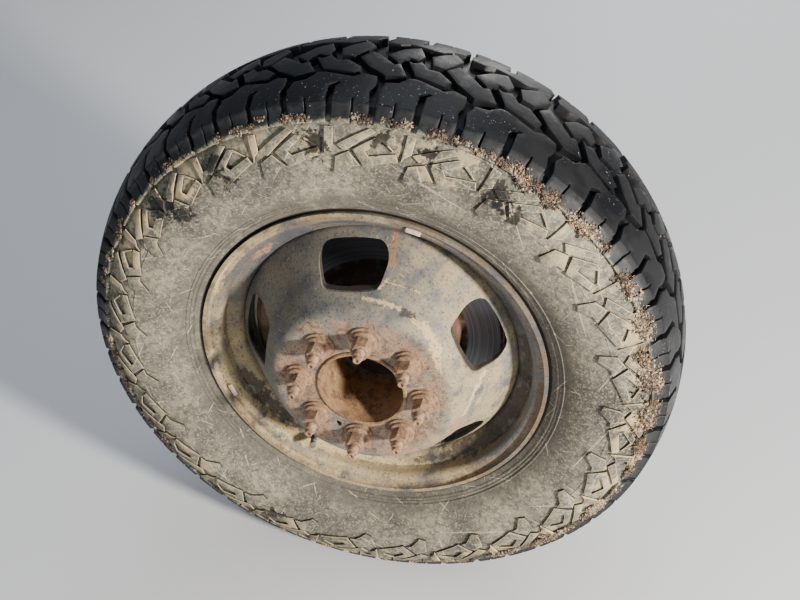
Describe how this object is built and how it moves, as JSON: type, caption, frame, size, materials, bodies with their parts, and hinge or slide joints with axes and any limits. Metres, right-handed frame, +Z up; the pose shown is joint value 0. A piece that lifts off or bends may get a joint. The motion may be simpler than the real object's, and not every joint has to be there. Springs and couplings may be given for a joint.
{
  "type": "front wheel end of a four-wheel-drive truck",
  "caption": "Steered front wheel with all-terrain tyre on a dished steel disc wheel, with hub, brake, knuckle, ball joints and cut axle tube.",
  "frame": {"origin": "centre of the axle tube's inboard end, on the axle's axis", "axes": "+Y along the axle towards the vehicle, +Z up, +X forward"},
  "size_m": [0.8078, 0.512, 0.8078],
  "materials": {
    "axle_paint": "chassis black, dusty and rusting",
    "bare_steel": "dull, lightly rusted",
    "cast_iron": "rough cast, brown rust",
    "boot_rubber": "matt black",
    "bearing_steel": "machined, rust film",
    "shield_steel": "thin pressed steel, dirty",
    "caliper_iron": "rough cast, rusty",
    "brake_pad": "friction compound",
    "rotor_iron": "turned faces, rusty edges",
    "rusty_hub": "orange brown rust",
    "rusty_fastener": "rusted zinc",
    "wheel_paint": "grey paint under dust, mud and rust",
    "valve_rubber": "matt black",
    "weight_lead": "dull coated metal",
    "tyre": "black tread, dusty muddy sidewall"
  },
  "bodies": {
    "axle_end": {"axle_tube": "axle_paint", "axle_yoke": "axle_paint", "upper_ball_stud": "bare_steel", "lower_ball_stud": "bare_steel", "ball_stud_nuts": "bare_steel"},
    "knuckle": {"steering_knuckle": "cast_iron", "upper_ball_joint": "bare_steel", "lower_ball_joint": "bare_steel", "ball_joint_boots": "boot_rubber", "bearing_unit": "bearing_steel", "dust_shield": "shield_steel", "caliper_bracket": "caliper_iron", "brake_caliper": "caliper_iron", "caliper_pistons": "bare_steel", "slide_pins": "bare_steel", "outer_brake_pad": "brake_pad", "inner_brake_pad": "brake_pad"},
    "wheel": {"wheel_hub": "bearing_steel", "hub_studs": "bare_steel", "extension_nuts": "bare_steel", "brake_rotor": "rotor_iron", "hub_extension": "rusty_hub", "wheel_studs": "rusty_fastener", "wheel_disc": "wheel_paint", "wheel_rim": "wheel_paint", "nut_washers": "rusty_fastener", "lug_nuts": "rusty_fastener", "valve_stem": "valve_rubber", "balance_weights": "weight_lead", "tyre": "tyre"}
  },
  "joints": [
    {"name": "steer", "type": "hinge", "parent": "axle_end", "child": "knuckle", "pos_m": [0, -0.233, 0], "axis": [-0.069, 0.1475, 0.9867], "range_deg": [-35, 35]},
    {"name": "wheel_spin", "type": "hinge", "parent": "knuckle", "child": "wheel", "pos_m": [0, -0.33, 0], "axis": [0, 1, 0], "continuous": true}
  ]
}
